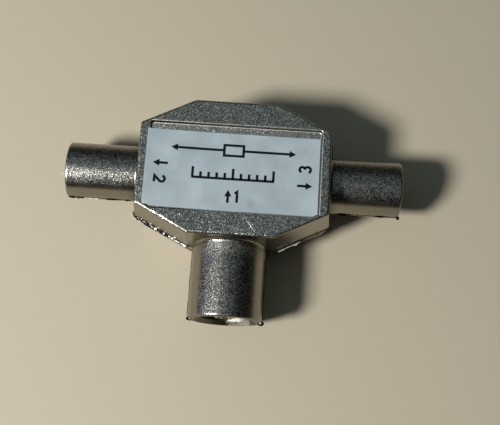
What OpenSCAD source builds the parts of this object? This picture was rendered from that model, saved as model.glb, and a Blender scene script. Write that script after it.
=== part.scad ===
// Two-way aerial splitter: a die-cast T of an eight-sided body, one input socket and two output plugs.
// The origin lies on the back cover's face, under the crossing of the three shell axes.
// +X runs along the right output, -Y along the input, +Z towards the label. Millimetres.

/* [Body casting] */
// Length of the body over its two side flats, at mid height
body_length = 33.3; // [32:0.1:36]
// Depth of the body over its front and back flats, at mid height
body_depth = 24.3; // [23:0.1:27]
// Height of the body from the back cover to the label side
body_height = 15.4; // [15.2:0.1:18]
// Width of the front and back flats, at mid height
end_flat = 14.5; // [14.2:0.1:17]
// Width of the side flats that carry the output shells, at mid height
side_flat = 14.8; // [13:0.1:16]
// Inward lean of the walls from mid height to either face
draft = 0.7; // [0.3:0.05:0.8]
// Thickness of the side walls
wall = 1.6; // [1.3:0.1:2]
// Thickness of the metal under the label pocket
roof = 1.4; // [1:0.1:1.6]
// Radius of the two rounded upright corners of the back flat
back_corner_r = 1.5; // [0.5:0.1:2.2]
// Radius of the other six upright corners
corner_r = 0.4; // [0.2:0.1:0.8]
// Radius along the edge of the label side
top_edge_r = 0.4; // [0.2:0.05:0.6]
// Radius along the edge of the cover side
bottom_edge_r = 0.7; // [0.3:0.1:0.8]
// Height of the seam that the two halves of the die left at mid height
seam_height = 0.24; // [0.1:0.02:0.4]
// How far that seam stands proud of the walls
seam_proud = 0.1; // [0.04:0.02:0.2]

/* [Label pocket] */
// Length of the pocket between the side rails
pocket_length = 28.8; // [25:0.1:29.4]
// Distance from the shell axis to the pocket's upper edge
pocket_up = 7.35; // [6.4:0.05:7.6]
// Distance from the shell axis to the pocket's lower edge
pocket_down = 7.75; // [7:0.05:7.9]
// Depth of the pocket
pocket_depth = 0.45; // [0.3:0.05:1]
// How far the pocket's walls lean outwards on their way up
pocket_slope = 0.3; // [0.05:0.05:0.4]
// Least distance from the pocket to the slanted edges of the face
pocket_rim = 0.45; // [0.45:0.05:1]
// Radius of the pocket's corners
pocket_corner_r = 0.4; // [0.2:0.1:0.8]
// How far the label laps onto the left rail
label_lap = 0.25; // [0.1:0.05:0.5]
// Length over which the label bridges from the rail down to the pocket's floor
label_bridge = 12.0; // [1:0.5:14]
// Gap between the label and the foot of the right rail
label_gap = 0.05; // [0.02:0.01:1]
// Width of the label, across its lines
label_width = 13.25; // [10:0.05:13.6]
// Thickness of the label
label_thickness = 0.12; // [0.08:0.01:0.3]

/* [Input socket] */
// Outer diameter of the input shell
in_outer_d = 12.4; // [12:0.1:12.6]
// Bore of the input shell, which takes a 9.525 mm plug shell
in_bore_d = 9.6; // [9.56:0.01:9.8]
// Width of the wide lead-in round that bore at the mouth
in_lead_in = 0.7; // [0.3:0.05:0.8]
// Distance from the crossing of the axes to the input's mouth
in_reach = 24.4; // [22:0.1:28]
// Radius where the input shell grows out of the front flat
in_fillet_r = 0.7; // [0.3:0.1:0.8]
// Outer diameter of the slotted input contact
contact_d = 4.0; // [3.4:0.1:4.4]
// Bore of the input contact, which takes a 2.4 mm centre pin
contact_bore_d = 2.4; // [2.36:0.01:2.5]
// Depth of the input contact's bore
contact_bore_depth = 9.2; // [6:0.1:9.6]
// Length of the four slots in the input contact
contact_slot_length = 6.5; // [3:0.1:8]
// Width of those slots
contact_slot_width = 0.35; // [0.2:0.05:0.5]
// How far the input contact stays inside the mouth
contact_recess = 0.6; // [0.2:0.1:2]

/* [Output plugs] */
// Outer diameter of the output shells
out_outer_d = 9.525; // [9.5:0.005:9.55]
// Bore of the output shells
out_bore_d = 8.3; // [8.1:0.05:8.5]
// Distance from the crossing of the axes to the end of each output
out_reach = 28.4; // [26:0.1:32]
// Radius where the output shells grow out of the side flats
out_fillet_r = 0.4; // [0.2:0.1:0.8]
// Diameter of the output centre pins
pin_d = 2.4; // [2.3:0.05:2.5]
// How far the pins stay inside the shells
pin_recess = 0.4; // [0.1:0.1:2]
// Radius round the nose of the pins
pin_nose_r = 0.7; // [0.3:0.1:1]

/* [Insulators] */
// Width of the casting's lip behind each insulator
lip = 1.2; // [0.8:0.1:1.4]
// Thickness of the insulators' flanges
flange_thickness = 2.4; // [1.6:0.1:3.5]
// Diameter of the input insulator's hub
in_hub_d = 7.0; // [5:0.1:8]
// Diameter of the output insulators' hubs
out_hub_d = 6.0; // [4.5:0.1:7]
// Diameter of the contact stems inside the insulators
stem_d = 2.0; // [1.6:0.1:2.2]
// Diameter of the collar that stops each pin on its insulator
collar_d = 3.2; // [2.8:0.1:4]
// Thickness of that collar
collar_thickness = 0.5; // [0.3:0.1:1]
// Diameter of the solder tails
tail_d = 1.2; // [0.8:0.1:1.4]
// How far the solder tails reach over the board
tail_overlap = 2.0; // [1.4:0.1:2.4]
// Clearance round pieces that are pushed into place
seat_gap = 0.03; // [0.01:0.01:0.08]

/* [Cover] */
// Thickness of the pressed-in back cover
cover_thickness = 1.0; // [0.6:0.1:1.2]
// Width of the casting's rim round the cover
cover_rim = 1.0; // [0.9:0.1:1.2]

/* [Board] */
// Length of the circuit board
board_length = 22.0; // [20:0.1:23]
// Depth of the circuit board
board_depth = 12.0; // [11.6:0.1:13]
// Thickness of the circuit board
board_thickness = 1.0; // [0.8:0.1:1.6]
// Cut across the board's corners
board_corner = 2.0; // [1:0.1:2.2]
// Distance from the board's edges to the middle of the posts under its corners
post_inset = 2.0; // [1.9:0.1:2.4]
// Diameter of the two cast posts that carry the board
post_d = 2.4; // [2:0.1:2.6]
// Diameter of the spigots on the posts
spigot_d = 1.2; // [0.8:0.1:1.4]
// How far the spigots pass through the board
spigot_reach = 0.6; // [0.3:0.1:1]
// Thickness of the component leads
lead_d = 0.5; // [0.4:0.05:0.6]
// Clearance round leads and spigots in the board
hole_gap = 0.15; // [0.1:0.05:0.2]
// How far the leads pass through the board
lead_reach = 0.8; // [0.5:0.1:1.2]

/* [Transformers] */
// Height of the two-hole ferrite cores
core_height = 3.4; // [2.8:0.1:4]
// Length of the cores along their holes
core_depth = 4.2; // [3:0.1:4.4]
// Distance between the rounded sides' centres of a core
core_spread = 1.8; // [1.6:0.1:2.2]
// Distance between the two holes of a core
core_hole_pitch = 2.1; // [1.9:0.1:2.3]
// Diameter of a core's holes
core_hole_d = 1.3; // [1.1:0.1:1.4]
// Diameter of the enamelled wire
wire_d = 0.35; // [0.2:0.05:0.4]

/* [Resistor and capacitor] */
// Length of the isolation resistor's body
resistor_length = 4.2; // [3:0.1:4.6]
// Diameter of the resistor's ends
resistor_d = 1.9; // [1.5:0.1:2.2]
// Distance between the resistor's leads
resistor_pitch = 6.4; // [5.6:0.1:6.8]
// Diameter of the matching capacitor's disc
capacitor_d = 4.0; // [3.4:0.1:4.4]
// Thickness of the capacitor's disc
capacitor_thickness = 1.4; // [1.1:0.1:1.8]
// Distance between the capacitor's leads
capacitor_pitch = 2.5; // [2:0.1:2.6]

/* [Hidden] */

over = 0.5;
axis_z = body_height / 2;
slant = atan2(body_depth - side_flat, body_length - end_flat);
cavity_inset = draft + wall;
cavity_top = body_height - pocket_depth - roof;
pocket_floor = body_height - pocket_depth;

right = 0;
left = 180;
front = -90;
out_wall = body_length / 2;
in_wall = body_depth / 2;
mouth_edge = 0.35;
round_steps = 6;
edge_step = 30;
arc_step = 15;
corner_steps = 3;

solder_film = 0.06;
board_back = axis_z + tail_d / 2 + solder_film;
board_front = board_back + board_thickness;
lead_top = board_front + lead_reach;
post_at = [board_length / 2 - post_inset, board_depth / 2 - post_inset];
solder_height = 0.6;
solder_spread = 0.45;
solder_hollow = [0.3, 0.6];
blob_d = tail_d + 1;
blob_inset = 0.7;

core_along = 0.21;
core_back = 2.2;
parts_along = 0.23;
parts_front = 0.3;
core_at = [board_length * core_along, core_back];
core_z = board_back - core_height / 2;
winding_end = core_depth / 2 + wire_d;
turn_spread = 1.25;
turn_pitch = wire_d * turn_spread;
resistor_at = [board_length * parts_along, -board_depth * parts_front];
capacitor_at = [-board_length * parts_along, -board_depth * parts_front];
stand_off = 0.3;
resistor_z = board_back - stand_off - resistor_d / 2;
capacitor_z = board_back - stand_off - capacitor_d / 2;
neck_wall = 0.4;

// Half width of a side flat and of an end flat once every side has moved inwards by t
function side_half(t) = side_flat / 2 - t * (1 - sin(slant)) / cos(slant);
function end_half(t) = end_flat / 2 - t * (1 - cos(slant)) / sin(slant);

// The eight corners of the body's plan, moved inwards by t, anticlockwise from the right side flat
function plan_corners(t) =
    let (x = body_length / 2 - t, y = body_depth / 2 - t, s = side_half(t), e = end_half(t))
    [[x, s], [e, y], [-e, y], [-x, s], [-x, -s], [-e, -y], [e, -y], [x, -s]];

// Arc that rounds corner b on the way from a to c
function corner_arc(a, b, c, r, steps) =
    let (u = (b - a) / norm(b - a), v = (c - b) / norm(c - b),
         from = atan2(u.y, u.x), turn = acos(u * v),
         centre = b - u * r * tan(turn / 2) + r * [-u.y, u.x])
    [for (k = [0:steps]) centre + r * [sin(from + turn * k / steps), -cos(from + turn * k / steps)]];

function rounded(p, radii, steps) = let (n = len(p))
    [for (i = [0:n - 1]) each corner_arc(p[(i + n - 1) % n], p[i], p[(i + 1) % n], radii[i], steps)];

// Outline of the casting, moved inwards by t: round at the back, sharper elsewhere
function plan(t) = rounded(plan_corners(t),
    [corner_r, back_corner_r, back_corner_r, corner_r, corner_r, corner_r, corner_r, corner_r], round_steps);

// How far the drafted wall has moved inwards at height z
function lean(z) = draft * abs(z - axis_z) / axis_z;

// Outer form: a skin through the plan at a row of [height, inset] stations, with both edges rounded
module body_form() {
    lower = [for (a = [90:-edge_step:0]) let (z = bottom_edge_r * (1 - sin(a)))
        [z, lean(z) + bottom_edge_r * (1 - cos(a))]];
    upper = [for (a = [0:edge_step:90]) let (z = body_height - top_edge_r * (1 - sin(a)))
        [z, lean(z) + top_edge_r * (1 - cos(a))]];
    rings = [for (s = concat(lower, [[axis_z, 0]], upper)) [for (p = plan(s[1])) [p.x, p.y, s[0]]]];
    n = len(rings[0]);
    last = len(rings) - 1;
    sides = [for (i = [0:last - 1], j = [0:n - 1])
        let (a = i * n + j, b = i * n + (j + 1) % n) each [[a, a + n, b], [b, a + n, b + n]]];
    bottom = [for (j = [0:n - 1]) j];
    top = [for (j = [n - 1:-1:0]) last * n + j];
    polyhedron(points = [for (r = rings) each r], faces = concat([bottom], sides, [top]), convexity = 4);
}

// Turns a shape that was drawn along +Z to run out from the crossing of the axes
module toward(heading) {
    translate([0, 0, axis_z])
        rotate([0, 0, heading])
            rotate([0, 90, 0])
                children();
}

// Outside of a shell: root fillet, straight barrel and rounded mouth edge
module shell_outside(outer_d, wall_at, reach, fillet_r) {
    r = outer_d / 2;
    root = wall_at - lean(axis_z + r);
    fillet = [for (a = [0:arc_step:90]) [r + fillet_r * (1 - sin(a)), root + fillet_r * (1 - cos(a))]];
    edge = [for (a = [0:edge_step:90]) [r - mouth_edge * (1 - cos(a)), reach - mouth_edge * (1 - sin(a))]];
    rotate_extrude($fn = 96)
        polygon(concat([[0, root - wall / 2], [r + fillet_r, root - wall / 2]], fillet, edge, [[0, reach]]));
}

// Inside of a shell: bore with a lead-in, floor lip and the hub's hole into the cavity
module shell_inside(bore_d, hub_d, wall_at, reach, lead_in) {
    cavity_at = wall_at - cavity_inset;
    floor_at = cavity_at + lip;
    r = bore_d / 2;
    rotate_extrude($fn = 96)
        polygon([[0, cavity_at - over], [hub_d / 2, cavity_at - over], [hub_d / 2, floor_at], [r, floor_at],
            [r, reach - lead_in], [r + lead_in, reach], [r + lead_in, reach + over], [0, reach + over]]);
}

// The seam runs round the body and along the input shell; the output shells slide into sockets and have none
module seam() {
    translate([0, 0, axis_z - seam_height / 2])
        linear_extrude(seam_height) {
            polygon(plan(-seam_proud));
            translate([-in_outer_d / 2 - seam_proud, mouth_edge - in_reach])
                square([in_outer_d + 2 * seam_proud, in_reach - mouth_edge]);
        }
}

// Plan of the pocket, moved inwards by t, with its corners cut along the slanted sides of the body
module pocket_plan(t) {
    x = pocket_length / 2 - t;
    upper = pocket_up - t;
    lower = t - pocket_down;
    radii = [for (k = [0:7]) pocket_corner_r];
    intersection() {
        polygon(rounded([[x, upper], [-x, upper], [-x, lower], [x, lower]], radii, corner_steps));
        polygon(plan_corners(draft + pocket_rim + t));
    }
}

// Pocket with leaning walls, as a tool that cuts it
module pocket() {
    skin = 0.001;
    hull() {
        translate([0, 0, pocket_floor]) linear_extrude(skin) pocket_plan(pocket_slope);
        translate([0, 0, body_height]) linear_extrude(over) pocket_plan(0);
    }
}

module cast_post(side) {
    translate([side * post_at.x, post_at.y, 0]) {
        translate([0, 0, board_front])
            cylinder(h = cavity_top - board_front + over, d = post_d, $fn = 48);
        translate([0, 0, board_back - spigot_reach])
            cylinder(h = board_thickness + spigot_reach + over, d = spigot_d, $fn = 48);
    }
}

module housing() {
    color([0.44, 0.46, 0.49]) {
        difference() {
            union() {
                body_form();
                seam();
                toward(right) shell_outside(out_outer_d, out_wall, out_reach, out_fillet_r);
                toward(left) shell_outside(out_outer_d, out_wall, out_reach, out_fillet_r);
                toward(front) shell_outside(in_outer_d, in_wall, in_reach, in_fillet_r);
            }
            pocket();
            translate([0, 0, -over])
                linear_extrude(cavity_top + over)
                    polygon(plan(cavity_inset));
            translate([0, 0, -over])
                linear_extrude(cover_thickness + over)
                    polygon(plan(draft + cover_rim));
            toward(right) shell_inside(out_bore_d, out_hub_d, out_wall, out_reach, mouth_edge);
            toward(left) shell_inside(out_bore_d, out_hub_d, out_wall, out_reach, mouth_edge);
            toward(front) shell_inside(in_bore_d, in_hub_d, in_wall, in_reach, in_lead_in);
        }
        cast_post(1);
        cast_post(-1);
    }
}

module back_cover() {
    color([0.62, 0.63, 0.64])
        linear_extrude(cover_thickness)
            polygon(plan(draft + cover_rim + seat_gap));
}

// Label flat on the pocket's floor, then in a slight curve up to the left rail and over its edge
module front_label() {
    edge = -pocket_length / 2;
    far = -edge - pocket_slope - label_gap;
    curve = [for (a = [0:arc_step:90]) [edge + label_bridge * a / 90, body_height - pocket_depth * sin(a)]];
    under = concat([[edge - label_lap, body_height]], curve, [[far, pocket_floor]]);
    above = [for (k = [len(under) - 1:-1:0]) under[k] + [0, label_thickness]];
    color([0.66, 0.7, 0.74])
        intersection() {
            translate([0, pocket_slope + label_gap - pocket_down + label_width, 0])
                rotate([90, 0, 0])
                    linear_extrude(label_width)
                        polygon(concat(under, above));
            translate([0, 0, axis_z])
                linear_extrude(body_height)
                    polygon(plan_corners(draft + pocket_rim + pocket_slope + label_gap));
        }
}

// Flange in the shell's bore against the lip, hub through the lip, hole for the stem
module insulator(bore_d, hub_d, wall_at) {
    cavity_at = wall_at - cavity_inset;
    floor_at = cavity_at + lip;
    face = floor_at + flange_thickness;
    hole = stem_d / 2 + seat_gap;
    color([0.93, 0.92, 0.88])
        rotate_extrude($fn = 96)
            polygon([[hole, cavity_at], [hub_d / 2 - seat_gap, cavity_at], [hub_d / 2 - seat_gap, floor_at],
                [bore_d / 2 - seat_gap, floor_at], [bore_d / 2 - seat_gap, face], [hole, face]]);
}

// Tail over the board and stem through the insulator, shared by all three contacts
function stem_points(wall_at, tail_end) = let (cavity_at = wall_at - cavity_inset)
    [[0, tail_end], [tail_d / 2, tail_end], [tail_d / 2, cavity_at], [stem_d / 2, cavity_at],
     [stem_d / 2, cavity_at + lip + flange_thickness]];

module out_pin() {
    face = out_wall - cavity_inset + lip + flange_thickness;
    tip = out_reach - pin_recess;
    r = pin_d / 2;
    nose = [for (a = [0:arc_step:90]) [r - pin_nose_r * (1 - cos(a)), tip - pin_nose_r * (1 - sin(a))]];
    color([0.78, 0.74, 0.62])
        rotate_extrude($fn = 64)
            polygon(concat(stem_points(out_wall, board_length / 2 - tail_overlap),
                [[collar_d / 2, face], [collar_d / 2, face + collar_thickness], [r, face + collar_thickness]],
                nose, [[0, tip]]));
}

module in_contact() {
    face = in_wall - cavity_inset + lip + flange_thickness;
    tip = in_reach - contact_recess;
    lead_in = 0.3;
    r = contact_d / 2;
    b = contact_bore_d / 2;
    color([0.78, 0.74, 0.62])
        toward(front)
            difference() {
                rotate_extrude($fn = 64)
                    polygon(concat(stem_points(in_wall, board_depth / 2 - tail_overlap),
                        [[r, face], [r, tip - lead_in], [r - lead_in, tip], [b + lead_in, tip],
                         [b, tip - lead_in], [b, tip - contact_bore_depth], [0, tip - contact_bore_depth]]));
                for (a = [45, 135])
                    rotate([0, 0, a])
                        translate([-contact_slot_width / 2, -contact_d, tip - contact_slot_length])
                            cube([contact_slot_width, 2 * contact_d, contact_slot_length + over]);
            }
}

// Places of the holes that component leads pass through
function winding_leads(side) = [for (s = [-1, 1])
    [side * core_at.x + s * core_hole_pitch / 2, core_at.y + winding_end]];
function pair(at, pitch) = [[at.x - pitch / 2, at.y], [at.x + pitch / 2, at.y]];
thin_leads = concat(winding_leads(-1), winding_leads(1));
thick_leads = concat(pair(resistor_at, resistor_pitch), pair(capacitor_at, capacitor_pitch));

module circuit_board() {
    x = board_length / 2;
    y = board_depth / 2;
    c = board_corner;
    color([0.72, 0.6, 0.35])
        translate([0, 0, board_back])
            linear_extrude(board_thickness)
                difference() {
                    polygon([[x, y - c], [x - c, y], [c - x, y], [-x, y - c],
                        [-x, c - y], [c - x, -y], [x - c, -y], [x, c - y]]);
                    for (p = thin_leads)
                        translate(p) circle(d = wire_d + 2 * hole_gap, $fn = 24);
                    for (p = thick_leads)
                        translate(p) circle(d = lead_d + 2 * hole_gap, $fn = 24);
                    for (s = [-1, 1])
                        translate([s * post_at.x, post_at.y]) circle(d = spigot_d + 2 * hole_gap, $fn = 24);
                }
}

// Straight round wire between two points
module rod(a, b, d) {
    v = b - a;
    translate(a)
        rotate([0, acos(v.z / norm(v)), atan2(v.y, v.x)])
            cylinder(h = norm(v), d = d, $fn = 24);
}

// Wire through a row of points, with a ball at each bend
module wire(points, d) {
    for (i = [1:len(points) - 1])
        rod(points[i - 1], points[i], d);
    for (i = [1:len(points) - 2])
        translate(points[i]) sphere(d = d, $fn = 24);
}

// Two-hole ferrite core that hangs under the board
module core(side) {
    color([0.23, 0.22, 0.22])
        translate([side * core_at.x, core_at.y + core_depth / 2, core_z])
            rotate([90, 0, 0])
                linear_extrude(core_depth)
                    difference() {
                        union() {
                            square([core_spread, core_height], center = true);
                            for (s = [-1, 1])
                                translate([s * core_spread / 2, 0]) circle(d = core_height, $fn = 64);
                        }
                        for (s = [-1, 1])
                            translate([s * core_hole_pitch / 2, 0]) circle(d = core_hole_d, $fn = 48);
                    }
}

// Two turns through both holes, with both ends brought up through the board
module winding(side) {
    x = core_hole_pitch / 2;
    color([0.62, 0.3, 0.14])
        translate([side * core_at.x, core_at.y, 0]) {
            for (s = [-1, 1]) {
                z = core_z + s * turn_pitch / 2;
                wire([[0, winding_end, z], [x, winding_end, z], [x, -winding_end, z], [-x, -winding_end, z],
                    [-x, winding_end, z], [0, winding_end, z]], wire_d);
                wire([[s * x, winding_end, core_z - turn_pitch / 2], [s * x, winding_end, core_z],
                    [s * x, winding_end, lead_top]], wire_d);
            }
        }
}

module resistor_body() {
    waist = 0.84;
    bulge_share = 0.22;
    bulge = resistor_length * bulge_share;
    edge = 0.25;
    r = resistor_d / 2;
    color([0.8, 0.68, 0.5])
        translate([resistor_at.x - resistor_length / 2, resistor_at.y, resistor_z])
            rotate([0, 90, 0])
                rotate_extrude($fn = 48)
                    polygon([[0, 0], [r - edge, 0], [r, edge], [r, bulge], [r * waist, bulge + edge],
                        [r * waist, resistor_length - bulge - edge], [r, resistor_length - bulge],
                        [r, resistor_length - edge], [r - edge, resistor_length], [0, resistor_length]]);
}

module resistor_leads() {
    color([0.75, 0.75, 0.73])
        for (s = [-1, 1]) {
            x = resistor_at.x + s * resistor_pitch / 2;
            y = resistor_at.y;
            wire([[resistor_at.x + s * resistor_length / 2, y, resistor_z], [x, y, resistor_z],
                [x, y, lead_top]], lead_d);
        }
}

module capacitor_leads() {
    color([0.75, 0.75, 0.73])
        for (p = pair(capacitor_at, capacitor_pitch))
            rod([p.x, p.y, capacitor_z + capacitor_d / 2], [p.x, p.y, lead_top], lead_d);
}

// Lacquered disc, with a neck of lacquer down each lead
module capacitor_body() {
    r = capacitor_d / 2;
    half = capacitor_thickness / 2;
    bevel_share = 0.6;
    bevel = half * bevel_share;
    color([0.78, 0.5, 0.24]) {
        translate([capacitor_at.x, capacitor_at.y, capacitor_z])
            rotate([90, 0, 0])
                rotate_extrude($fn = 64)
                    polygon([[0, -half], [r - bevel, -half], [r, bevel - half], [r, half - bevel],
                        [r - bevel, half], [0, half]]);
        for (p = pair(capacitor_at, capacitor_pitch))
            translate([p.x, p.y, capacitor_z])
                cylinder(h = r, d = lead_d + neck_wall, $fn = 32);
    }
}

// Solder cone round a wire that stands out of the board
module solder_cone(d) {
    r = d / 2;
    rotate_extrude($fn = 32)
        polygon([[r, 0], [r + solder_spread, 0],
            [r + solder_spread * solder_hollow.x, solder_height * solder_hollow.y], [r, solder_height]]);
}

// Solder drop over the end of a contact's tail, flat against the board
module tail_drop(heading, tail_end) {
    difference() {
        toward(heading)
            translate([0, 0, tail_end + blob_inset])
                sphere(d = blob_d, $fn = 48);
        toward(heading)
            translate([0, 0, tail_end])
                cylinder(h = blob_d, d = tail_d, $fn = 48);
        translate([-board_length, -board_length, board_back])
            cube([2 * board_length, 2 * board_length, blob_d]);
    }
}

module solder_joints() {
    color([0.7, 0.71, 0.72]) {
        for (p = thin_leads)
            translate([p.x, p.y, board_front]) solder_cone(wire_d);
        for (p = thick_leads)
            translate([p.x, p.y, board_front]) solder_cone(lead_d);
        for (s = [-1, 1])
            translate([s * post_at.x, post_at.y, board_back]) mirror([0, 0, 1]) solder_cone(spigot_d);
        tail_drop(right, board_length / 2 - tail_overlap);
        tail_drop(left, board_length / 2 - tail_overlap);
        tail_drop(front, board_depth / 2 - tail_overlap);
    }
}

module in_insulator() {
    toward(front) insulator(in_bore_d, in_hub_d, in_wall);
}

module left_insulator() {
    toward(left) insulator(out_bore_d, out_hub_d, out_wall);
}

module right_insulator() {
    toward(right) insulator(out_bore_d, out_hub_d, out_wall);
}

housing();
back_cover();
front_label();
in_insulator();
in_contact();
left_insulator();
toward(left) out_pin();  // left_pin
right_insulator();
toward(right) out_pin();  // right_pin
circuit_board();
core(-1);  // matching_core
winding(-1);  // matching_winding
core(1);  // splitter_core
winding(1);  // splitter_winding
resistor_body();
resistor_leads();
capacitor_body();
capacitor_leads();
solder_joints();
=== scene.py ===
# %% [markdown]
# # A two-way aerial splitter
# The part itself comes from its CAD model, so this file builds no casting and no contacts. It gives every
# piece its finish, and adds what is too thin or too ragged for the model: the print on the label and the
# flash that the die left along its parting line. It also sets up the light and the camera.

# %% Load the CAD model
import math
import random

import bmesh
import bpy
from mathutils import Matrix, Vector


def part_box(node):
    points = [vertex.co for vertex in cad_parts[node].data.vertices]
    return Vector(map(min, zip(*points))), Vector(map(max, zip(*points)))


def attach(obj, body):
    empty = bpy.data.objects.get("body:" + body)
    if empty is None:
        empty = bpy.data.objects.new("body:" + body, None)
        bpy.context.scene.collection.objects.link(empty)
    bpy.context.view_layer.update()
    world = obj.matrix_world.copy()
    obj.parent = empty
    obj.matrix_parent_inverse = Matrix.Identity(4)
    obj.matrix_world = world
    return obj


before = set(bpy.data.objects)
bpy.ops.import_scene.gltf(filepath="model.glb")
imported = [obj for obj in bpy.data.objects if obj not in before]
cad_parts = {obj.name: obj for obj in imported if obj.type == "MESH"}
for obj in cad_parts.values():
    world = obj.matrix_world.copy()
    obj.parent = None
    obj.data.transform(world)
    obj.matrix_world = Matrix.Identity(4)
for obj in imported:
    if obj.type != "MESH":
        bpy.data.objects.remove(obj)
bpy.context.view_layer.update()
print("CAD nodes:", len(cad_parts))

# %% [markdown]
# ## Small tools
# Blender measures in metres and its shaders want linear colours, while a maker thinks in millimetres and
# picks colours as they look on a screen. A constant and a short function bridge that. A second function
# adds a shader node with its settings and its links in one go and hands back the socket that the next node
# needs, so that each material below reads as a short recipe. A Mix node has sockets for each kind of value:
# 4 and 5 take its two vectors, 6 and 7 its two colours, and COLOUR is the number of its colour result.

# %% Units, colours and nodes
MM = 0.001
COLOUR = 2


def linear(code):
    channels = [int(code[i:i + 2], 16) / 255 for i in (1, 3, 5)]
    return [c / 12.92 if c <= 0.04045 else ((c + 0.055) / 1.055) ** 2.4 for c in channels] + [1.0]


def add(tree, kind, inputs, output=0, **settings):
    made = tree.nodes.new(kind)
    for name, value in settings.items():
        setattr(made, name, value)
    for socket, value in inputs.items():
        if isinstance(value, bpy.types.NodeSocket):
            tree.links.new(value, made.inputs[socket])
        else:
            made.inputs[socket].default_value = value
    return made.outputs[output]


print("mid grey in linear light:", [round(c, 3) for c in linear("#808080")])

# %% [markdown]
# Camera, wear and print have their places on the casting. Its roof and the floor of the label's pocket are
# read from the frame, so they hold if the model's height changes. The three shells lie halfway up.

# %% Levels of the casting
ROOF = round(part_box("housing")[1][2] / MM, 2)
POCKET_FLOOR = round(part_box("front_label")[0][2] / MM, 2)
SHELL_AXIS = ROOF / 2
print("roof, pocket floor and shell axis in mm:", ROOF, POCKET_FLOOR, SHELL_AXIS)

# %% [markdown]
# Most finishes here are patterns in space: a grain of so many tenths of a millimetre. They could be painted
# as images, but that needs the surface unfolded, and it blurs from near. Object coordinates need neither,
# because every CAD node keeps its place in its mesh. Each material starts with them, scaled to millimetres,
# and every pattern then takes its scale from a real size.

# %% Starting a material
def start_finish(name, **constants):
    material = bpy.data.materials.new(name)
    material.use_nodes = True
    tree = material.node_tree
    shader = tree.nodes["Principled BSDF"]
    for socket, value in constants.items():
        shader.inputs[socket.replace("_", " ")].default_value = value
    place = add(tree, "ShaderNodeTexCoord", {}, "Object")
    place = add(tree, "ShaderNodeMapping", {"Vector": place, "Scale": (1 / MM,) * 3})
    return material, tree, shader, place


# %% [markdown]
# ## Camera
# The picture is taken from above and a little in front, with the input towards the viewer. The camera
# stands 15 cm from the part, and its lens frames the part a bit left of the middle. A Track To constraint
# could aim it, but it is also rolled by a few degrees. So its three axes are worked out from the line of
# sight and the direction that is up in the picture, and written as one rotation.

# %% Camera
camera = bpy.data.objects.new("camera", bpy.data.cameras.new("camera"))
bpy.context.collection.objects.link(camera)
stand = Vector((4.243, -43.263, 154.17)) * MM
aim = Vector((3.0535, -5.5267, SHELL_AXIS)) * MM
picture_up = Vector((-0.06467, 0.96622, 0.24946))
ahead = (aim - stand).normalized()
to_right = ahead.cross(picture_up).normalized()
camera.location = stand
camera.rotation_mode = "QUATERNION"
camera.rotation_quaternion = Matrix((to_right, to_right.cross(ahead), -ahead)).transposed().to_quaternion()
camera.data.lens = 63.645
camera.data.clip_start = 10 * MM
bpy.context.scene.camera = camera
print("camera to aim in mm:", round((aim - stand).length / MM, 1))

# %% [markdown]
# ## Floor and light
# The floor is matt studio paper, a quiet warm grey that lights the flanks a little from below. Three metres
# of it keep its edge out of every view.

# %% Floor
bpy.ops.mesh.primitive_plane_add(size=3.0)
floor = bpy.context.object
floor.name = "floor"
paper, tree, shader, place = start_finish("studio_paper", Roughness=0.9)
shader.inputs["Base Color"].default_value = linear("#bdb29b")
floor.data.materials.append(paper)
print("floor in m:", tuple(round(side, 1) for side in floor.dimensions[:2]))

# %% [markdown]
# A metal shows what stands round it, so the room matters as much as the lamp. Here a wide pale panel hangs
# overhead, a small bluish one stands at the left, and the walls are dark, which gives the shells their
# depth. Each panel could be a mesh that glows, but it would then stand in the way of other views. So it is
# a patch of the world's colour: brightest where the line of sight agrees with the direction of the panel,
# and fading out round that.

# %% Room
OVERHEAD, SIDE = Vector((-0.25, 0.1, 0.95)).normalized(), Vector((-0.87, 0.18, 0.45)).normalized()
world = bpy.data.worlds.new("room")
bpy.context.scene.world = world
world.use_nodes = True
tree = world.node_tree
direction = add(tree, "ShaderNodeTexCoord", {}, "Generated")
room = linear("#171714")
for panel, rim, core, glow in ((OVERHEAD, 0.55, 1.0, "#758387"), (SIDE, 0.92, 0.99, "#8291ad")):
    nearness = add(tree, "ShaderNodeVectorMath", {0: direction, 1: panel}, "Value", operation="DOT_PRODUCT")
    lit = add(tree, "ShaderNodeMapRange", {"Value": nearness, "From Min": rim, "From Max": core},
              interpolation_type="SMOOTHSTEP")
    room = add(tree, "ShaderNodeMix", {0: lit, 6: room, 7: linear(glow)}, COLOUR, data_type="RGBA")
tree.links.new(room, tree.nodes["Background"].inputs["Color"])
bpy.context.scene.view_settings.view_transform = "Standard"
print("overhead panel, degrees from straight up:", round(math.degrees(math.acos(OVERHEAD.z)), 1))

# %% [markdown]
# One lamp stands at the front left. Its highlight draws the shells, and its light catches the grain. A sun
# lamp would throw hard shadows, so it is a disc 8 cm across, 40 cm away.

# %% Lamp
lamp_distance = 400 * MM
lamp = bpy.data.objects.new("soft_lamp", bpy.data.lights.new("soft_lamp", "AREA"))
bpy.context.collection.objects.link(lamp)
towards_lamp = Vector((-0.79, -0.48, 1.0)).normalized()
lamp.location = towards_lamp * lamp_distance
lamp.rotation_mode = "QUATERNION"
lamp.rotation_quaternion = (-towards_lamp).to_track_quat("-Z", "Y")
lamp.data.shape = "DISK"
lamp.data.size = 80 * MM
lamp.data.energy = 1.85
print("lamp elevation:", round(math.degrees(math.asin(towards_lamp.z)), 1))

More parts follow.
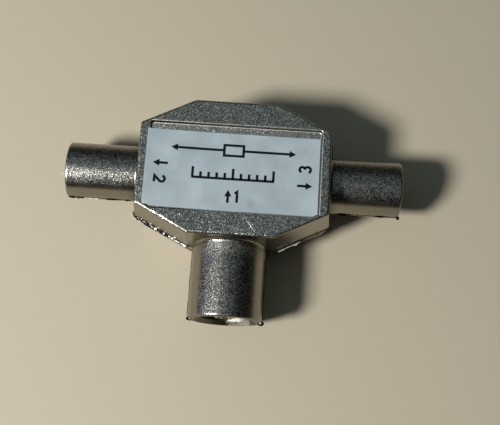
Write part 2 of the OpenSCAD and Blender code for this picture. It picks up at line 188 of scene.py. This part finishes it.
# %% [markdown]
# ## Nickel-plated die casting
# The body is zinc, cast in a steel die and then plated with nickel, a slightly warm, fairly bright metal.
# The plate follows the grain of the die's faces: small flat facets that each lean their own way and glitter
# one by one. A noise bump would give round hills with a soft sheen. Cells with a random lean give flat
# facets, and a random brightness gives the speckle, so that is the way taken here. The real facets are a
# few hundredths of a millimetre across, too fine to show in the picture, so they are drawn coarser, at
# 0.115 mm. The grain lies on what faces up or down. The walls slid out of the die, so they are smooth. How
# far a normal points up tells the two apart. The label side, found by its height, has the strongest grain.

# %% Where the grain lies
FACET, EDGE_RADIUS = 0.115, 0.2
FACE_START, FACE_FULL = ROOF - 1.2, ROOF - 0.6
nickel, tree, shader, place = start_finish("nickel_plated_zinc", Metallic=1.0)
aside, behind, level = (add(tree, "ShaderNodeSeparateXYZ", {"Vector": place}, axis) for axis in "XYZ")
soft = add(tree, "ShaderNodeBevel", {"Radius": EDGE_RADIUS * MM}, samples=6)
upward = add(tree, "ShaderNodeSeparateXYZ", {"Vector": soft}, "Z")
flatness = add(tree, "ShaderNodeMath", {0: upward}, operation="ABSOLUTE")
grained = add(tree, "ShaderNodeMapRange", {"Value": flatness, "From Min": 0.6, "From Max": 0.8},
              interpolation_type="SMOOTHSTEP")
on_face = add(tree, "ShaderNodeMapRange", {"Value": level, "From Min": FACE_START, "From Max": FACE_FULL})
sunk = add(tree, "ShaderNodeMath", {0: level, 1: POCKET_FLOOR, 2: 0.02}, operation="COMPARE")

# %% [markdown]
# Handling polishes edges first. They could be painted by hand, but the Bevel node finds them: an edge is
# where its rounded normal parts from the true one. The facets below lean from that rounded normal, so edges
# catch the light too. Edges lose their grain, and those round the label get a painted highlight: a paler
# colour and a rougher gloss. The pocket is 28.8 mm long and 15.1 mm deep, and the highlit part reaches just
# beyond it.

# %% Worn edges and a painted highlight round the label
# These bound the band round the label that gets a painted highlight.
HIGHLIT_MIDDLE, HIGHLIT_HALF_DEPTH, HIGHLIT_HALF_LENGTH = -0.2, 8.2, 15.2
normal = add(tree, "ShaderNodeNewGeometry", {}, "Normal")
alike = add(tree, "ShaderNodeVectorMath", {0: soft, 1: normal}, "Value", operation="DOT_PRODUCT")
worn = add(tree, "ShaderNodeMapRange", {"Value": alike, "From Min": 0.93, "From Max": 0.99,
                                        "To Min": 1.0, "To Max": 0.0})
calm = add(tree, "ShaderNodeMapRange", {"Value": worn, "To Min": 1.0, "To Max": 0.15})
near_label = add(tree, "ShaderNodeMath", {0: behind, 1: HIGHLIT_MIDDLE, 2: HIGHLIT_HALF_DEPTH},
                 operation="COMPARE")
between_rails = add(tree, "ShaderNodeMath", {0: aside, 1: 0.0, 2: HIGHLIT_HALF_LENGTH}, operation="COMPARE")
edge_highlight = add(tree, "ShaderNodeMath", {0: near_label, 1: between_rails}, operation="MULTIPLY")
edge_highlight = add(tree, "ShaderNodeMath", {0: edge_highlight, 1: worn}, operation="MULTIPLY")

# %% [markdown]
# One long, thin scratch lies below the label. It is far too shallow to model, so it is a stretched ellipse
# in which the plate leans one way, like the flank of a groove, and throws the lamp's light forwards.

# %% Scratch
SCRATCH_PLACE, SCRATCH_TURN = (3.25, -9.64, ROOF), math.radians(-50.3)
SCRATCH_HALF_SIZE = (2.0, 0.06, 0.1)
SCRATCH_LEAN = (-0.35, -0.29, 0)
across = add(tree, "ShaderNodeMapping", {"Vector": place, "Location": SCRATCH_PLACE,
                                         "Rotation": (0, 0, SCRATCH_TURN)}, vector_type="TEXTURE")
across = add(tree, "ShaderNodeVectorMath", {0: across, 1: SCRATCH_HALF_SIZE}, operation="DIVIDE")
across = add(tree, "ShaderNodeVectorMath", {0: across}, "Value", operation="LENGTH")
scratch = add(tree, "ShaderNodeMapRange", {"Value": across, "From Min": 0.6, "From Max": 1.0,
                                           "To Min": 0.72, "To Max": 0.0})

# %% [markdown]
# Deep inside the shells the colour is darkened as painted shade. Ambient occlusion finds such places by how
# little open space they see, and the whole inside of the input is added to them. One side of the input's
# mouth is a painted pool of light instead: paler and rough again, in a patch with an uneven edge. A
# distance from one point gives the patch, and noise moves its edge.

# %% Inside the shells
BORE_REACH, BORE_START = 6.0, -14.0
LIT_PLACE, LIT_CORE, LIT_END = (2.8, -24.0, 2.8), 3.4, 3.8
LIT_WOBBLE, WOBBLE_SIZE = 2.0, 0.5
# The darkening built from here is painted shade in the hollows.
open_sky = add(tree, "ShaderNodeAmbientOcclusion", {"Distance": 4 * MM}, "AO", samples=8, only_local=True)
bore_shade = add(tree, "ShaderNodeMapRange", {"Value": open_sky, "From Min": 0.45, "From Max": 0.75,
                                        "To Min": 1.0, "To Max": 0.0})
bore_shade = add(tree, "ShaderNodeMath", {0: bore_shade, 1: on_face}, operation="SUBTRACT", use_clamp=True)
from_axis = add(tree, "ShaderNodeVectorMath", {0: place, 1: (1, 0, 1), 2: (0, 0, -SHELL_AXIS)},
                operation="MULTIPLY_ADD")
from_axis = add(tree, "ShaderNodeVectorMath", {0: from_axis}, "Value", operation="LENGTH")
in_bore = add(tree, "ShaderNodeMath", {0: from_axis, 1: BORE_REACH}, operation="LESS_THAN")
past_root = add(tree, "ShaderNodeMath", {0: behind, 1: BORE_START}, operation="LESS_THAN")
in_bore = add(tree, "ShaderNodeMath", {0: in_bore, 1: past_root}, operation="MULTIPLY")
uneven = add(tree, "ShaderNodeTexNoise", {"Vector": place, "Scale": 1 / WOBBLE_SIZE})
# This patch is a painted pool of light in the input's mouth.
lit_patch = add(tree, "ShaderNodeVectorMath", {0: place, 1: LIT_PLACE}, "Value", operation="DISTANCE")
lit_patch = add(tree, "ShaderNodeMath", {0: uneven, 1: LIT_WOBBLE, 2: lit_patch}, operation="MULTIPLY_ADD")
lit_patch = add(tree, "ShaderNodeMapRange", {"Value": lit_patch, "From Min": LIT_CORE, "From Max": LIT_END,
                                       "To Min": 1.0, "To Max": 0.0})
lit_patch = add(tree, "ShaderNodeMath", {0: lit_patch, 1: in_bore}, operation="MULTIPLY")
bore_shade = add(tree, "ShaderNodeMath", {0: bore_shade, 1: in_bore}, operation="MAXIMUM")
bore_shade = add(tree, "ShaderNodeMath", {0: bore_shade, 1: lit_patch}, operation="SUBTRACT")
grained = add(tree, "ShaderNodeMath", {0: grained, 1: lit_patch}, operation="MAXIMUM")

# %% [markdown]
# The colour that a Voronoi texture gives each cell is three random numbers. Together they say which way the
# facet leans. The last one also says how far it leans and how bright it is, so that the facets that stand
# out most have been polished most. Worn edges are calm, and the shells calmer than the label side.

# %% Lean of the facets
SHELL_LEAN, FACE_LEAN, FAINT_CLOUD = 0.1, 0.27, 0.3
facet = add(tree, "ShaderNodeTexVoronoi", {"Vector": place, "Scale": 1 / FACET}, "Color")
shade = add(tree, "ShaderNodeSeparateColor", {"Color": facet}, "Blue")
shade = add(tree, "ShaderNodeMapRange", {"Value": shade, "From Min": 0.3}, interpolation_type="SMOOTHSTEP")
bolder = add(tree, "ShaderNodeMapRange", {"Value": shade, "To Min": 0.6, "To Max": 1.9})
amount = add(tree, "ShaderNodeMapRange", {"Value": on_face, "To Min": SHELL_LEAN, "To Max": FACE_LEAN})
for factor in (grained, calm, bolder):
    amount = add(tree, "ShaderNodeMath", {0: amount, 1: factor}, operation="MULTIPLY")
lean = add(tree, "ShaderNodeVectorMath", {0: facet, 1: (0.5, 0.5, 0.5)}, operation="SUBTRACT")
lean = add(tree, "ShaderNodeVectorMath", {0: lean, "Scale": amount}, operation="SCALE")
lean = add(tree, "ShaderNodeMix", {0: scratch, 4: lean, 5: SCRATCH_LEAN}, 1, data_type="VECTOR")
tilted = add(tree, "ShaderNodeVectorMath", {0: soft, 1: lean}, operation="ADD")
tilted = add(tree, "ShaderNodeVectorMath", {0: tilted}, operation="NORMALIZE")
fine = add(tree, "ShaderNodeTexNoise", {"Vector": place, "Scale": 1 / FAINT_CLOUD, "Detail": 3.0})
bumped = add(tree, "ShaderNodeBump", {"Height": fine, "Distance": 0.005 * MM, "Strength": grained,
                                      "Normal": tilted})

# %% [markdown]
# The colour of a metal is the colour of its reflections. It goes from a dull grey in the darkest facets to
# nearly white in the brightest. The label side is paler and has more contrast than the shells, and the
# smooth walls have only faint clouds.

# %% Colour of the plate
contrast = add(tree, "ShaderNodeMapRange", {"Value": on_face, "To Min": 0.65, "To Max": 1.0})
paler = add(tree, "ShaderNodeMapRange", {"Value": on_face, "To Min": 0.0, "To Max": 0.14})
shade = add(tree, "ShaderNodeMath", {0: shade, 1: contrast, 2: paler}, operation="MULTIPLY_ADD")
# The second patch paints a pool of light into the input's mouth.
for patch, extra in ((sunk, 0.2), (lit_patch, 0.45)):
    shade = add(tree, "ShaderNodeMath", {0: patch, 1: extra, 2: shade}, operation="MULTIPLY_ADD",
                use_clamp=True)
plate = add(tree, "ShaderNodeMix", {0: shade, 6: linear("#4b4c49"), 7: linear("#e9e4da")}, COLOUR,
            data_type="RGBA")
colour = add(tree, "ShaderNodeMix", {0: fine, 6: linear("#88847a"), 7: linear("#a09b90")}, COLOUR,
             data_type="RGBA")
colour = add(tree, "ShaderNodeMix", {0: grained, 6: colour, 7: plate}, COLOUR, data_type="RGBA")
# The pale tint round the label is a painted highlight, and the dark tint in the shells is painted shade.
for patch, tint in ((edge_highlight, "#f2ede2"), (bore_shade, "#5a594f")):
    colour = add(tree, "ShaderNodeMix", {0: patch, 6: colour, 7: linear(tint)}, COLOUR, data_type="RGBA")

# %% [markdown]
# The gloss of a plated casting isn't even: it is cloudy by a few millimetres. Grain, wear and the fillet at
# the root of the input spread the highlight further, and each of them adds its share to the roughness.

# %% Gloss of the plate
BODY_FRONT, ROOT_START, ROOT_END, WIDE_CLOUD = -12.4, -14.8, -13.6, 2.5
cloudy = add(tree, "ShaderNodeTexNoise", {"Vector": place, "Scale": 1 / WIDE_CLOUD})
rough = add(tree, "ShaderNodeMapRange", {"Value": cloudy, "From Min": 0.3, "From Max": 0.7,
                                         "To Min": 0.24, "To Max": 0.28})
off_body = add(tree, "ShaderNodeMath", {0: behind, 1: BODY_FRONT}, operation="LESS_THAN")
root = add(tree, "ShaderNodeMapRange", {"Value": behind, "From Min": ROOT_START, "From Max": ROOT_END},
           interpolation_type="SMOOTHSTEP")
root = add(tree, "ShaderNodeMath", {0: root, 1: off_body}, operation="MULTIPLY")
for patch, extra in ((grained, 0.09), (on_face, -0.08), (lit_patch, 0.1), (edge_highlight, 0.08), (sunk, 0.1),
                     (worn, 0.12), (root, 0.12)):
    rough = add(tree, "ShaderNodeMath", {0: patch, 1: extra, 2: rough}, operation="MULTIPLY_ADD")
print("nodes in the plated finish:", len(tree.nodes))

# %% [markdown]
# A finish is done when its results are linked to the shader and the material is on its pieces. Its
# constants are set on the shader's own sockets, because the export may lose one that comes from a node.

# %% Dressing the pieces
def finish_with(tree, shader, **sockets):
    for socket, source in sockets.items():
        tree.links.new(source, shader.inputs[socket.replace("_", " ")])


def dress(material, *nodes):
    for name in nodes:
        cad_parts[name].data.materials.clear()
        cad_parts[name].data.materials.append(material)
        print(material.name, "on", name)


finish_with(tree, shader, Base_Color=colour, Roughness=rough, Normal=bumped)
dress(nickel, "housing")

# %% [markdown]
# The back cover is stamped from steel sheet and plated too. It was rolled, so it has a fine, even tooth and
# a calm satin look instead of the casting's glitter. A low noise bump is enough for that. The real tooth is
# far below a tenth of a millimetre and wouldn't show, so it is drawn at 0.15 mm.

# %% Plated sheet
SHEET_TOOTH = 0.15
sheet, tree, shader, place = start_finish("nickel_plated_sheet", Metallic=1.0, Roughness=0.32)
tooth = add(tree, "ShaderNodeTexNoise", {"Vector": place, "Scale": 1 / SHEET_TOOTH})
colour = add(tree, "ShaderNodeMix", {0: tooth, 6: linear("#a8a69f"), 7: linear("#c9c6be")}, COLOUR,
             data_type="RGBA")
bumped = add(tree, "ShaderNodeBump", {"Height": tooth, "Distance": 0.01 * MM})
finish_with(tree, shader, Base_Color=colour, Normal=bumped)
dress(sheet, "back_cover")

# %% [markdown]
# ## Label and print
# The label is a matt silver-grey polyester film. It gives the eye a soft, slightly cloudy surface without a
# clear reflection, one smudge and two specks of dirt. The tooth of such a film is too fine to show, so it
# is drawn at 0.2 mm. Each spot is a distance from its middle, and the film's tooth makes its edge ragged.

# %% Label film
SMUDGE, RIGHT_SPECK, FRONT_SPECK = (3.1, -5.9, 1.3, 0.4), (8.36, -3.43, 0.25, 0.7), (3.6, -4.08, 0.2, 0.6)
FILM_CLOUD, FILM_TOOTH = 4.0, 0.2
film, tree, shader, place = start_finish("polyester_film", Roughness=0.5)
cloud = add(tree, "ShaderNodeTexNoise", {"Vector": place, "Scale": 1 / FILM_CLOUD})
colour = add(tree, "ShaderNodeMix", {0: cloud, 6: linear("#8a979c"), 7: linear("#bbc9ce")}, COLOUR,
             data_type="RGBA")
tooth = add(tree, "ShaderNodeTexNoise", {"Vector": place, "Scale": 1 / FILM_TOOTH})
speckle = add(tree, "ShaderNodeMapRange", {"Value": tooth, "To Min": 0.0, "To Max": 0.16})
colour = add(tree, "ShaderNodeMix", {0: speckle, 6: colour, 7: linear("#7f8b90")}, COLOUR,
             data_type="RGBA")
ragged = add(tree, "ShaderNodeMath", {0: tooth, 1: 1.2, 2: -0.6}, operation="MULTIPLY_ADD")
for x, y, radius, strength in (SMUDGE, RIGHT_SPECK, FRONT_SPECK):
    away = add(tree, "ShaderNodeVectorMath", {0: place, 1: (x, y, POCKET_FLOOR)}, "Value",
               operation="DISTANCE")
    away = add(tree, "ShaderNodeMath", {0: ragged, 1: radius, 2: away}, operation="MULTIPLY_ADD")
    spot = add(tree, "ShaderNodeMapRange", {"Value": away, "From Min": 0.0, "From Max": radius,
                                            "To Min": strength, "To Max": 0.0},
               interpolation_type="SMOOTHSTEP")
    colour = add(tree, "ShaderNodeMix", {0: spot, 6: colour, 7: linear("#7d7a66")}, COLOUR,
                 data_type="RGBA")
bumped = add(tree, "ShaderNodeBump", {"Height": tooth, "Distance": 0.004 * MM})
finish_with(tree, shader, Base_Color=colour, Normal=bumped)
dress(film, "front_label")

# %% [markdown]
# The print is a thin layer of matt black ink that reflects little, with slightly paler places every few
# tenths of a millimetre, where the film shines through.

# %% Ink
INK_CLOUD = 0.3
ink, tree, shader, place = start_finish("black_screen_ink", Roughness=0.6, Specular_IOR_Level=0.15)
cloud = add(tree, "ShaderNodeTexNoise", {"Vector": place, "Scale": 1 / INK_CLOUD})
colour = add(tree, "ShaderNodeMix", {0: cloud, 6: linear("#06080a"), 7: linear("#111416")}, COLOUR,
             data_type="RGBA")
finish_with(tree, shader, Base_Color=colour)

# %% [markdown]
# The marks could be an image on the film, but flat meshes keep them sharp at any distance. Every mark is a
# ribbon of one width, as a plotter would draw it, and it lies just above the film. The film bridges the
# step from the left rail down to the pocket's floor in a long curve, so the ink's height changes with x.

# %% Height of the ink
label_low, label_high = (Vector(corner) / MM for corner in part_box("front_label"))
print("label in mm:", [round(v, 2) for v in (*label_low, *label_high)])
FILM, INK_LIFT = 0.12, 0.015
RAIL_EDGE, BRIDGE = -14.4, 12.0


def on_film(x, y):
    way = min(1.0, max(0.0, (x - RAIL_EDGE) / BRIDGE))
    level = ROOF - (ROOF - POCKET_FLOOR) * math.sin(way * math.pi / 2) + FILM + INK_LIFT
    return Vector((x, y, level)) * MM


print("ink height at the rail and in the pocket:", [round(on_film(x, 0).z / MM, 3) for x in (RAIL_EDGE, 0)])

# %% [markdown]
# A stroke is given as a row of points. It is cut into steps of a millimetre at most, so that it can follow
# the film's curve, and at each step two corners are set beside the line. Where the line bends, they move
# apart, so that the ribbon keeps its width.

# %% Strokes
STROKE = 0.42


def stroke_mesh(mesh, points, closed=False):
    corners = [Vector((x, y, 0)) for x, y in points]
    ends = corners[1:] + corners[:1] if closed else corners[1:]
    line = []
    for one, two in zip(corners, ends):
        parts = math.ceil((two - one).length)
        line += [one.lerp(two, k / parts) for k in range(parts)]
    if not closed:
        line.append(corners[-1])
    count = len(line)
    pairs = []
    for i, here in enumerate(line):
        before = line[i - 1] if closed or i else here
        after = line[(i + 1) % count] if closed or i < count - 1 else here
        along_in, along_out = (here - before).normalized(), (after - here).normalized()
        if before is here:
            along_in = along_out
        if after is here:
            along_out = along_in
        middle = (along_in + along_out).normalized()
        side = Vector((-middle.y, middle.x, 0)) * STROKE / 2 / max(0.5, middle.dot(along_out))
        edges = [here + s * side for s in (1, -1)]
        pairs.append([mesh.verts.new(on_film(e.x, e.y)) for e in edges])
    for i in range(count if closed else count - 1):
        a, b = pairs[i], pairs[(i + 1) % count]
        mesh.faces.new((a[0], a[1], b[1], b[0]))


# %% Arcs and turned marks
def arc(x, y, radius, start, end, steps=14):
    angles = [math.radians(start + (end - start) * k / steps) for k in range(steps + 1)]
    return [(x + radius * math.cos(a), y + radius * math.sin(a)) for a in angles]


def turned(points, x, y, angle):
    c, s = math.cos(math.radians(angle)), math.sin(math.radians(angle))
    return [(x + c * px - s * py, y + s * px + c * py) for px, py in points]


# %% [markdown]
# The marks are plain ones: a number and an arrow at each of the three ports, a block with a line to either
# side, and a bare scale. Each has a place, an angle that it is turned by and, for an arrow, a length.

# %% Numbers and arrows
print_mesh = bmesh.new()
ONE = [[(-0.35, 0.55), (0.05, 0.95), (0.05, -0.95)]]
TWO = [arc(0, 0.4, 0.5, 170, -40) + [(-0.52, -0.82), (0.58, -0.82)]]
THREE = [arc(0, 0.45, 0.45, 160, -80), arc(0, -0.42, 0.5, 85, -160)]
for strokes, x, y, angle in ((ONE, 0.75, -5.0, 0), (TWO, -12.1, -2.75, -90), (THREE, 11.7, 0.4, 90)):
    for points in strokes:
        stroke_mesh(print_mesh, turned(points, x, y, angle))
HEAD_LENGTH, HEAD_HALF_WIDTH, OVERLAP = 1.1, 0.6, 0.1
for x, y, angle, length in ((-0.7, -6.05, 90, 2.2), (-10.9, 0.0, 180, 2.5), (10.5, -2.4, 0, 2.5),
                            (1.4, 2.9, 0, 8.7), (-1.8, 2.9, 180, 8.8)):
    neck = length - HEAD_LENGTH
    stroke_mesh(print_mesh, turned([(0, 0), (neck + OVERLAP, 0)], x, y, angle))
    head = turned([(neck, -HEAD_HALF_WIDTH), (length, 0), (neck, HEAD_HALF_WIDTH)], x, y, angle)
    print_mesh.faces.new([print_mesh.verts.new(on_film(*corner)) for corner in head])
print("faces in numbers and arrows:", len(print_mesh.faces))

# %% Block and scale
TICKS, TICK_STEP, FIRST_TICK, SCALE_FOOT = 11, 1.332, -6.76, -2.0
stroke_mesh(print_mesh, [(-1.8, 2.0), (1.4, 2.0), (1.4, 3.8), (-1.8, 3.8)], closed=True)
stroke_mesh(print_mesh, [(-6.9, SCALE_FOOT), (6.7, SCALE_FOOT)])
for k in range(TICKS):
    x = FIRST_TICK + TICK_STEP * k
    tall = 1.8 if k % 5 == 0 else 1.0
    stroke_mesh(print_mesh, [(x, SCALE_FOOT), (x, SCALE_FOOT + tall)])
print("faces in all the print:", len(print_mesh.faces))

# %% [markdown]
# A mesh becomes a piece of the part when it rides on the root body and carries a material. The print
# carries the ink, and lies on the film.

# %% Adding a piece
def add_piece(mesh, name, material):
    data = bpy.data.meshes.new(name)
    mesh.to_mesh(data)
    mesh.free()
    data.materials.append(material)
    piece = bpy.data.objects.new(name, data)
    bpy.context.collection.objects.link(piece)
    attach(piece, "root")
    print(name, "has", len(data.polygons), "faces")


add_piece(print_mesh, "label_print", ink)

# %% [markdown]
# ## Insulators and contacts
# The discs in the three shells are moulded from natural polyethylene. It is milky, has a soft shine and
# lets a little light in, so a small share of the light scatters half a millimetre below the surface. The
# flow of the melt leaves faint clouds a millimetre or two wide.

# %% Polyethylene
MELT_CLOUD = 1.5
polyethylene, tree, shader, place = start_finish("natural_polyethylene", Roughness=0.42, IOR=1.51,
                                                 Subsurface_Weight=0.3, Subsurface_Scale=0.5 * MM)
cloud = add(tree, "ShaderNodeTexNoise", {"Vector": place, "Scale": 1 / MELT_CLOUD})
colour = add(tree, "ShaderNodeMix", {0: cloud, 6: linear("#d8d4c8"), 7: linear("#e8e5db")}, COLOUR,
             data_type="RGBA")
finish_with(tree, shader, Base_Color=colour)
dress(polyethylene, "in_insulator", "left_insulator", "right_insulator")

# %% [markdown]
# The contacts are turned from brass and plated with nickel, which gives them a smooth, slightly yellow
# shine. The tool's marks are a few hundredths of a millimetre apart, so they are drawn coarser, at 0.1 mm.

# %% Plated brass
TOOL_MARK = 0.1
brass, tree, shader, place = start_finish("nickel_plated_brass", Metallic=1.0, Roughness=0.25)
turning = add(tree, "ShaderNodeTexNoise", {"Vector": place, "Scale": 1 / TOOL_MARK})
colour = add(tree, "ShaderNodeMix", {0: turning, 6: linear("#b5ae9a"), 7: linear("#cfc8b4")}, COLOUR,
             data_type="RGBA")
bumped = add(tree, "ShaderNodeBump", {"Height": turning, "Distance": 0.004 * MM})
finish_with(tree, shader, Base_Color=colour, Normal=bumped)
dress(brass, "in_contact", "left_pin", "right_pin")

# %% [markdown]
# ## Board and its components
# Nothing of the board shows while the cover is on, but the pieces are there for whoever takes the part
# apart. Each gets the finish of the real thing: warm brown paper laminate with a faint mottle, dark matt
# ferrite, reddish copper under glossy enamel, smooth shiny lacquer on the resistor and the capacitor, and
# bright tin and solder. They could be seven recipes, but they differ only in two colours, a pattern size in
# millimetres and a gloss, so one table holds them all.

# %% Finishes inside
INSIDE = (
    ("phenolic_paper_laminate", "#a3803f", "#c09a58", 0.4, dict(Roughness=0.55, IOR=1.55),
     ["circuit_board"]),
    ("sintered_ferrite", "#2a2827", "#3c3a39", 0.12, dict(Roughness=0.7),
     ["matching_core", "splitter_core"]),
    ("enamelled_copper", "#8f4a22", "#ad6132", 0.8, dict(Metallic=0.8, Roughness=0.3, Coat_Weight=0.6),
     ["matching_winding", "splitter_winding"]),
    ("resistor_lacquer", "#c2a06c", "#cfb284", 0.9, dict(Roughness=0.3, Coat_Weight=0.4),
     ["resistor_body"]),
    ("capacitor_lacquer", "#b87428", "#c98a40", 0.9, dict(Roughness=0.3, Coat_Weight=0.4),
     ["capacitor_body"]),
    ("tinned_wire", "#b4b5b4", "#cacbca", 0.5, dict(Metallic=1.0, Roughness=0.3),
     ["resistor_leads", "capacitor_leads"]),
    ("tin_solder", "#b4b5b4", "#cacbca", 0.5, dict(Metallic=1.0, Roughness=0.22),
     ["solder_joints"]),
)
for name, low, high, size, constants, nodes in INSIDE:
    material, tree, shader, place = start_finish(name, **constants)
    shade = add(tree, "ShaderNodeTexNoise", {"Vector": place, "Scale": 1 / size})
    colour = add(tree, "ShaderNodeMix", {0: shade, 6: linear(low), 7: linear(high)}, COLOUR, data_type="RGBA")
    finish_with(tree, shader, Base_Color=colour)
    dress(material, *nodes)

# %% [markdown]
# ## Flash
# Where the two halves of the die met, a little metal crept between them. It stands out as a ragged lip
# along the parting line, and as small burrs where that line ends at a shell's mouth. Displacing the casting
# itself would cost very many faces for so thin an edge. So a lip is a thin three-sided strip that follows
# the line: its root sits a little inside the casting, and its free edge is moved in and out by chance. Each
# lip has its own seed, so it comes out the same every time.

# %% Ragged lip
STEP, ROOTED, HALF_THICK, TIP = 0.2, 0.06, 0.09, 0.02


def lip(mesh, start, end, away, reach, seed):
    chance = random.Random(seed)
    start, end, away = Vector(start), Vector(end), Vector(away).normalized()
    count = round((end - start).length / STEP)
    rings = []
    swell = 0.6
    for k in range(count + 1):
        here = start.lerp(end, k / count)
        swell = min(1.0, max(0.2, swell + chance.uniform(-0.4, 0.4)))
        out = reach * swell if 0 < k < count else TIP
        rise = chance.uniform(-0.4, 0.4) * out
        spots = [here - away * ROOTED + Vector((0, 0, HALF_THICK)),
                 here + away * out + Vector((0, 0, rise)),
                 here - away * ROOTED - Vector((0, 0, HALF_THICK))]
        rings.append([mesh.verts.new(spot * MM) for spot in spots])
    for one, two in zip(rings, rings[1:]):
        for k in range(3):
            mesh.faces.new((one[k], one[(k + 1) % 3], two[(k + 1) % 3], two[k]))
    mesh.faces.new(rings[0][::-1])
    mesh.faces.new(rings[-1])


# %% Burr
def burr(mesh, centre, size, seed):
    chance = random.Random(seed)
    made = bmesh.ops.create_icosphere(mesh, subdivisions=2, radius=1.0)["verts"]
    for vertex in made:
        bump = chance.uniform(0.75, 1.15)
        vertex.co = (Vector(centre) + Vector([c * s * bump for c, s in zip(vertex.co, size)])) * MM


# %% [markdown]
# Most of the flash is blackened, because torn metal takes the plating badly. Its widest stretch, at the
# front left, is bright in places, and a second, black lip below it is a painted shadow, the gap under the
# flash. A few burrs and two short stretches are white all over, real flash with a painted highlight.
# So there are three meshes, one for each finish. The parting line runs round the body at the height of the
# shells' axis: past the slanted corners, out along the sides of the three shells, and back.

# %% The parting line
HALF_LENGTH, HALF_DEPTH, SIDE_FLAT, END_FLAT = 16.75, 12.25, 7.44, 7.3
IN_SIDE, IN_ROOT, IN_MOUTH = 6.25, HALF_DEPTH + 0.6, 24.1
OUT_SIDE, OUT_ROOT, OUT_END = 4.76, 17.4, 28.2


def parting(x, y, above=0.0):
    return x, y, SHELL_AXIS + above


print("front left corner in mm:", parting(-HALF_LENGTH, -SIDE_FLAT), parting(-END_FLAT, -HALF_DEPTH))

# %% Lips on the body
# The flash in the white mesh carries a painted highlight.
bright, black_and_shadow, glinting_flash = bmesh.new(), bmesh.new(), bmesh.new()
# The black lip under the bright one is a painted shadow.
for mesh, above, down, reach, seed in ((bright, 0.1, 0, 0.2, 3), (black_and_shadow, -0.1, -0.3, 0.36, 4)):
    lip(mesh, parting(-HALF_LENGTH, -SIDE_FLAT, above), parting(-END_FLAT, -HALF_DEPTH, above),
        (-0.45, -0.89, down), reach, seed)
lip(black_and_shadow, parting(-HALF_LENGTH, -6.6), parting(-HALF_LENGTH, -SIDE_FLAT), (-1, 0, 0), 0.2, 5)
lip(black_and_shadow, parting(-END_FLAT, -HALF_DEPTH), parting(-IN_SIDE, -IN_ROOT), (-0.3, -1, 0), 0.25, 6)
lip(black_and_shadow, parting(HALF_LENGTH, -SIDE_FLAT), parting(END_FLAT, -HALF_DEPTH), (0.45, -0.89, 0), 0.14, 7)
lip(glinting_flash, parting(11.9, -10.1), parting(8.2, -12.0, -0.3), (0.3, -0.9, -0.3), 0.4, 8)

# %% Lips on the shells
for s, seed in ((-1, 20), (1, 30)):
    lip(black_and_shadow, parting(s * HALF_LENGTH, SIDE_FLAT), parting(s * END_FLAT, HALF_DEPTH), (s, 2, 0), 0.1, seed)
    lip(black_and_shadow, parting(s * IN_SIDE, -IN_ROOT), parting(s * IN_SIDE, -IN_MOUTH), (s, 0, 0), 0.1, seed + 1)
    lip(black_and_shadow, parting(s * OUT_ROOT, OUT_SIDE), parting(s * OUT_END, OUT_SIDE), (0, 1, 0), 0.08, seed + 2)
lip(black_and_shadow, parting(OUT_ROOT, -OUT_SIDE), parting(OUT_END, -OUT_SIDE), (0, -1, 0), 0.3, 41)
lip(black_and_shadow, parting(-OUT_ROOT, -OUT_SIDE), parting(-OUT_END, -OUT_SIDE), (0, -1, 0), 0.2, 42)
lip(glinting_flash, parting(-25.6, -OUT_SIDE - 0.1), parting(-23.0, -OUT_SIDE - 0.1), (0, -1, 0), 0.2, 43)
lip(black_and_shadow, parting(-26.2, -OUT_SIDE), parting(-OUT_END, -OUT_SIDE), (0, -1, 0), 0.45, 44)

# %% Burrs
burr(black_and_shadow, parting(-5.85, -24.3), (0.52, 0.38, 0.5), 51)
burr(black_and_shadow, parting(6.0, -24.35), (0.58, 0.44, 0.52), 52)
burr(glinting_flash, parting(5.95, -24.3, 0.45), (0.26, 0.26, 0.16), 53)
burr(glinting_flash, parting(-5.75, -24.3, 0.44), (0.22, 0.22, 0.14), 54)
# The white burr at the left output's end is a painted highlight.
burr(glinting_flash, (-28.55, -1.9, 11.7), (0.45, 0.34, 0.3), 55)
burr(black_and_shadow, parting(28.3, -4.85), (0.3, 0.34, 0.24), 56)
burr(glinting_flash, (-14.2, -7.0, ROOF), (0.4, 0.14, 0.08), 57)
print("faces of bright, black and fresh flash:", [len(mesh.faces) for mesh in (bright, black_and_shadow, glinting_flash)])

# %% [markdown]
# Torn zinc is a dark, glinting metal where it was blackened. The white burrs and stretches are flash with a
# painted highlight. One recipe with two colours in small patches serves all three, and only the white flash
# is rough enough to look matt.

# %% Three finishes
PATCH_SIZE = 0.4
FLASH = (("bright_flash", bright, "#2b2824", "#d2ccc0", 0.3),
         ("black_flash_and_shadow", black_and_shadow, "#161412", "#2e2b27", 0.3),
         ("bright_burrs", glinting_flash, "#d2ccc0", "#f2ede2", 0.75))
for name, mesh, low, high, roughness in FLASH:
    raw, tree, shader, place = start_finish("torn_zinc_" + name, Metallic=1.0, Roughness=roughness)
    patch = add(tree, "ShaderNodeTexNoise", {"Vector": place, "Scale": 1 / PATCH_SIZE})
    patch = add(tree, "ShaderNodeMapRange", {"Value": patch, "From Min": 0.5, "From Max": 0.6})
    colour = add(tree, "ShaderNodeMix", {0: patch, 6: linear(low), 7: linear(high)}, COLOUR, data_type="RGBA")
    finish_with(tree, shader, Base_Color=colour)
    bmesh.ops.recalc_face_normals(mesh, faces=mesh.faces)
    add_piece(mesh, name, raw)
